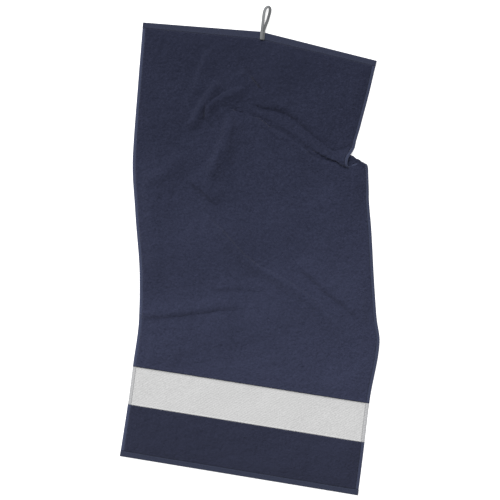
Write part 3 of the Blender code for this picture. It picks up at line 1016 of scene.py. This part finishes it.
def line_frame(line):
    """Unit vectors to the side of a line of points and up from it."""
    heading = np.gradient(line, axis=0)
    heading /= np.linalg.norm(heading, axis=1, keepdims=True)
    side = np.cross(heading, (0.0, 0.0, 1.0))
    side /= np.linalg.norm(side, axis=1, keepdims=True)
    return side, np.cross(side, heading)


def tape(name, zone, line, tilts):
    """A flat ribbed tape along a line of points, turned about the line by the tilts."""
    cos, sin = np.cos(turn(TAPE_SIDES)), np.sin(turn(TAPE_SIDES))
    width = np.sign(cos) * np.abs(cos) ** SQUARE_WIDTH * TAPE_WIDTH / 2
    crown = np.sign(sin) * np.abs(sin) ** SQUARE_THICKNESS * TAPE_THICKNESS / 2
    rib = np.abs(np.cos(math.pi * TAPE_RIBS * width / TAPE_WIDTH))
    crown = crown * (1 - RIB_DEPTH + RIB_DEPTH * rib)
    side, up = line_frame(line)
    cos, sin = np.cos(tilts)[:, None], np.sin(tilts)[:, None]
    side, up = side * cos + up * sin, up * cos - side * sin
    rings = line[:, None] + side[:, None] * width[:, None] + up[:, None] * crown[:, None]
    faces = tube_faces(len(line), TAPE_SIDES)
    made = add_mesh(f"{name}_tape", rings.reshape(-1, 3), faces, PAINTS["grey_tape"])
    if zone == "loop":
        start, end = (loop_origin() + loop_heading() * out for out in LOOP_BEND)
        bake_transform(made)
    else:
        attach(made, zone)
    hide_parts(name)
    return made


def hanging_loop():
    """The free loop, and the two ends of its tape sewn on the hem."""
    line = through(LOOP_ROUTE, 10)
    share = np.linspace(0, 1, len(line))
    tilts = TAPE_TILT * smoothstep(share / TILT_REACH) * smoothstep((1 - share) / TILT_REACH)
    tape("hanging_loop", "loop", in_loop_frame(line), tilts)
    for side, root in (("left", LOOP_ROUTE[0]), ("right", LOOP_ROUTE[-1])):
        end_x, end_z = SEWN_ENDS[side]
        share = np.linspace(1, SEWN_START, SEWN_RINGS)
        xs = root[0] + (end_x - root[0]) * share
        zs = root[2] + (end_z - root[2]) * share
        line = np.stack((xs, -SEWN_LENGTH * share, zs), axis=1)
        tape(f"loop_sewn_end_{side}", "main", in_loop_frame(line), np.zeros(SEWN_RINGS))


# The bartack: its zigzags, its middle and reach to each side, how far from the sewn ends' end it
# lies and how far it swings; then its height, which humps over the left end
BARTACK_STEPS = 26
BARTACK_MIDDLE = 0.0029
BARTACK_REACH = 0.0044
BARTACK_INSET = 0.0022
BARTACK_SWING = 0.0009
BARTACK_RADIUS = 0.00028
BARTACK_LIFT = 0.0017
BARTACK_HUMP = 0.0012
BARTACK_HUMP_LEFT = 0.002
BARTACK_HUMP_WIDTH = 0.003


def bartack():
    """Close zigzag stitching across both sewn ends of the tape."""
    line = []
    for i in range(BARTACK_STEPS + 1):
        across = -BARTACK_REACH + 2 * BARTACK_REACH * i / BARTACK_STEPS
        y = -SEWN_LENGTH + BARTACK_INSET + (BARTACK_SWING if i % 2 else -BARTACK_SWING)
        hump = math.exp(-((across + BARTACK_HUMP_LEFT) / BARTACK_HUMP_WIDTH) ** 2)
        line.append((BARTACK_MIDDLE + across, y, BARTACK_LIFT + BARTACK_HUMP * hump))
    path = in_loop_frame(through(line, 3))
    side, up = line_frame(path)
    angles = turn(THREAD_SIDES)
    ring = side[:, None] * np.cos(angles)[:, None] + up[:, None] * np.sin(angles)[:, None]
    rings = path[:, None] + BARTACK_RADIUS * ring
    faces = tube_faces(len(path), THREAD_SIDES)
    made = add_mesh("loop_bartack_thread", rings.reshape(-1, 3), faces, PAINTS["grey_thread"])
    return settle(made, "main", "grey_thread", "loop_bartack")


# Making the towel -------------------------------------------------------------------------------

main_panel = terry_panel("main_panel", "main", BAND_HIGH, INNER_TOP, 1)
lower_panel = terry_panel("lower_panel", "lower", END_HEM_WIDTH, BAND_LOW, 2)
band = woven_band()
main_hems = side_hems("main", BAND_HIGH, INNER_TOP, SIDE_HEM_THICKNESS, "navy_hem")
band_hems = side_hems("band", BAND_LOW, BAND_HIGH, BAND_HEM_THICKNESS, "off_white_hem")
lower_hems = side_hems("lower", END_HEM_WIDTH, BAND_LOW, SIDE_HEM_THICKNESS, "navy_hem")
top_hem = end_hem("top_hem", "main", INNER_TOP)
bottom_hem = end_hem("bottom_hem", "lower", 0.0)

side_stitches("main", BAND_HIGH, INNER_TOP, SIDE_HEM_THICKNESS, "navy_thread")
side_stitches("band", BAND_LOW, BAND_HIGH, BAND_HEM_THICKNESS, "off_white_thread")
side_stitches("lower", END_HEM_WIDTH, BAND_LOW, SIDE_HEM_THICKNESS, "navy_thread")
hanging_loop()

# How far from the towel's edge the hems' stitching runs, the room it leaves for the loop's sewn
# ends, and how far inside the band its own stitching runs
HEM_LINE = END_HEM_WIDTH - STITCH_INSET
LOOP_HALF = 0.0075
BAND_LINE = 0.0030
TOP_LINE = TOWEL_LENGTH - HEM_LINE
for side, left, right in (
    ("left", SIDE_HEM_WIDTH, LOOP_FROM_LEFT - LOOP_HALF),
    ("right", LOOP_FROM_LEFT + LOOP_HALF, INNER_RIGHT),
):
    ends = (left, TOP_LINE), (right, TOP_LINE)
    stitches(f"top_hem_stitching_{side}", "main", "navy_thread", *ends, END_HEM_THICKNESS)
ends = (SIDE_HEM_WIDTH, HEM_LINE), (INNER_RIGHT, HEM_LINE)
stitches("bottom_hem_stitching", "lower", "navy_thread", *ends, END_HEM_THICKNESS)
for side, v in (("lower", BAND_LOW + BAND_LINE), ("upper", BAND_HIGH - BAND_LINE)):
    ends = (INNER_LEFT, v), (INNER_RIGHT, v)
    stitches(f"band_stitching_{side}", "band", "off_white_thread", *ends, BAND_THICKNESS)
bartack()

# Floor, light and camera ------------------------------------------------------------------------


FLOOR_HALF = 6.0
FLOOR_DEPTH = 0.0002
FLOOR_GLOW = 0.50
WORLD_STRENGTH = 0.60
KEY_ENERGY = 2.9
KEY_ANGLE = math.radians(50)
KEY_HEADING = Vector((1.5, -3.0, -2.9))
CAMERA_LENS = 100
CAMERA_PLACE = (0.0007, -0.0012, 2.880)


def make_floor():
    corners = [(-1, -1), (1, -1), (1, 1), (-1, 1)]
    mesh = bpy.data.meshes.new("floor")
    mesh.from_pydata([(x * FLOOR_HALF, y * FLOOR_HALF, 0) for x, y in corners], [], [(0, 1, 2, 3)])
    paint = Paint(
        "pale_floor", Roughness=0.9, Specular_IOR_Level=0.1, Emission_Strength=FLOOR_GLOW,
        Emission_Color=(1, 1, 1, 1),
    )
    paint.colour(paint.noise(3, 2), 0.2, 0.8, grey(0.93), grey(0.95))
    mesh.materials.append(paint.made)
    floor = bpy.data.objects.new("floor", mesh)
    floor.location.z = -FLOOR_DEPTH
    bpy.context.scene.collection.objects.link(floor)


def make_world():
    world = bpy.data.worlds.new("studio")
    world.use_nodes = True
    shade = world.node_tree.nodes["Background"]
    shade.inputs["Color"].default_value = (1.0, 1.0, 1.0, 1)
    shade.inputs["Strength"].default_value = WORLD_STRENGTH
    bpy.context.scene.world = world


def make_key_light():
    """A large soft source, high beyond the towel's top edge and a little to its left."""
    lamp = bpy.data.lights.new("key_light", "SUN")
    lamp.energy = KEY_ENERGY
    lamp.angle = KEY_ANGLE
    made = bpy.data.objects.new("key_light", lamp)
    made.rotation_euler = KEY_HEADING.to_track_quat("-Z", "Y").to_euler()
    bpy.context.scene.collection.objects.link(made)


def make_camera():
    """Straight above the towel, looking down."""
    lens = bpy.data.cameras.new("camera")
    lens.lens = CAMERA_LENS
    camera = bpy.data.objects.new("camera", lens)
    camera.location = CAMERA_PLACE
    bpy.context.scene.collection.objects.link(camera)
    bpy.context.scene.camera = camera


make_floor()
make_world()
make_key_light()
make_camera()
bpy.context.scene.view_settings.view_transform = "Standard"
